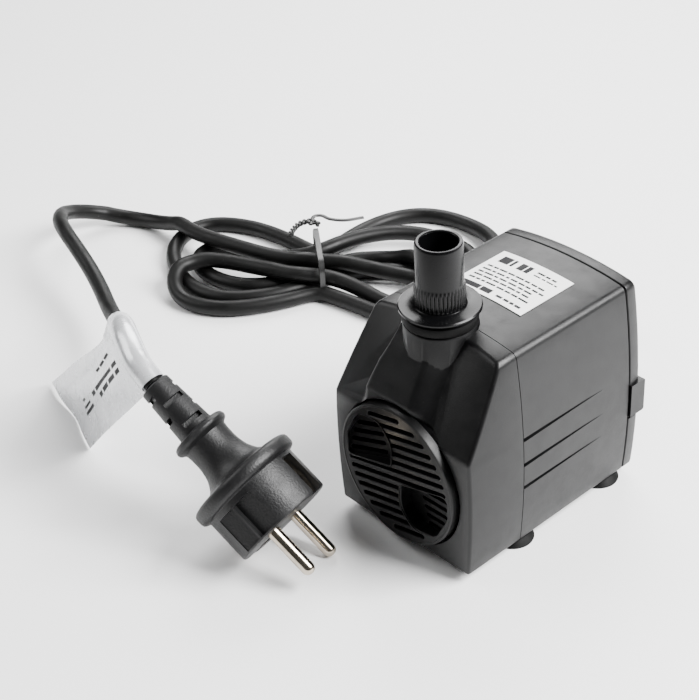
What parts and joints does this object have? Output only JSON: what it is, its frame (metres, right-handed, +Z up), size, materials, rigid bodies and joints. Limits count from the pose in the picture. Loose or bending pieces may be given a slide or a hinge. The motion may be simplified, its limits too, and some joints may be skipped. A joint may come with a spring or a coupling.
{
  "type": "fountain submersible pump",
  "caption": "Small submersible fountain pump with a slotted flow dial, an upright outlet nozzle, suction-cup feet and a mains lead folded into a tied hank with an earthed plug.",
  "frame": {"origin": "on the floor, under the middle of the pump without its mains lead", "axes": "+Z up along the outlet, -Y out of the face with the flow dial, +X to the right seen from that face"},
  "size_m": [0.2993, 0.2374, 0.1122],
  "materials": {
    "case": "satin black moulding, fine texture",
    "dial": "satin black moulding",
    "inner_plastic": "plain dark moulding",
    "seal_rubber": "soft black rubber",
    "cord": "matt black sheath",
    "plug": "satin black moulded plug",
    "shaft": null,
    "magnet": null,
    "laminations": "stacked steel laminations",
    "winding": "enamelled copper wire",
    "bobbin": "natural nylon",
    "resin": "black potting resin",
    "contact_metal": "nickel plate",
    "live_insulation": "brown insulation",
    "neutral_insulation": "blue insulation",
    "label": "white film label",
    "tag": "silvery film",
    "tie": "black coated wire"
  },
  "bodies": {
    "pump": {"motor_housing": "case", "rear_cover": "case", "pump_chamber": "inner_plastic", "intake_plate": "inner_plastic", "front_bush": "seal_rubber", "rear_bush": "seal_rubber", "chamber_seal": "seal_rubber", "suction_cup_front_left": "seal_rubber", "suction_cup_front_right": "seal_rubber", "suction_cup_rear_left": "seal_rubber", "suction_cup_rear_right": "seal_rubber", "strain_relief": "cord", "cord_pump_lead": "cord", "cord_hank": "cord", "cord_plug_lead": "cord", "plug_body": "plug", "rotor_shaft": "shaft", "stator_core": "laminations", "coil_left": "winding", "coil_right": "winding", "bobbin_left": "bobbin", "bobbin_right": "bobbin", "potting_block": "resin", "thermal_fuse": "contact_metal", "live_lead": "live_insulation", "neutral_lead": "neutral_insulation", "rating_label": "label", "cable_tag": "tag", "twist_tie": "tie", "plug_pin_left": "contact_metal", "plug_pin_right": "contact_metal", "earth_clip_upper": "contact_metal", "earth_clip_lower": "contact_metal", "earth_socket": "contact_metal"},
    "front": {"front_cover": "case"},
    "dial": {"flow_dial": "dial"},
    "seal": {"outlet_seal": "seal_rubber"},
    "nozzle": {"outlet_nozzle": "dial"},
    "rotor": {"rotor_magnet": "magnet", "impeller": "inner_plastic"}
  },
  "joints": [
    {"name": "front_cover_pull", "type": "slide", "parent": "pump", "child": "front", "axis": [0, -1, 0], "range_m": [0, 0.011]},
    {"name": "flow_dial_turn", "type": "hinge", "parent": "front", "child": "dial", "pos_m": [0, -0.0456, 0.0311], "axis": [0, -1, 0], "range_deg": [-45, 45]},
    {"name": "nozzle_pull", "type": "slide", "parent": "front", "child": "seal", "axis": [0, 0, 1], "range_m": [0, 0.018]},
    {"name": "nozzle_twist", "type": "hinge", "parent": "seal", "child": "nozzle", "pos_m": [0, -0.0228, 0.083], "axis": [0, 0, 1], "continuous": true},
    {"name": "rotor_spin", "type": "hinge", "parent": "pump", "child": "rotor", "pos_m": [0, 0, 0.0311], "axis": [0, -1, 0], "continuous": true}
  ]
}
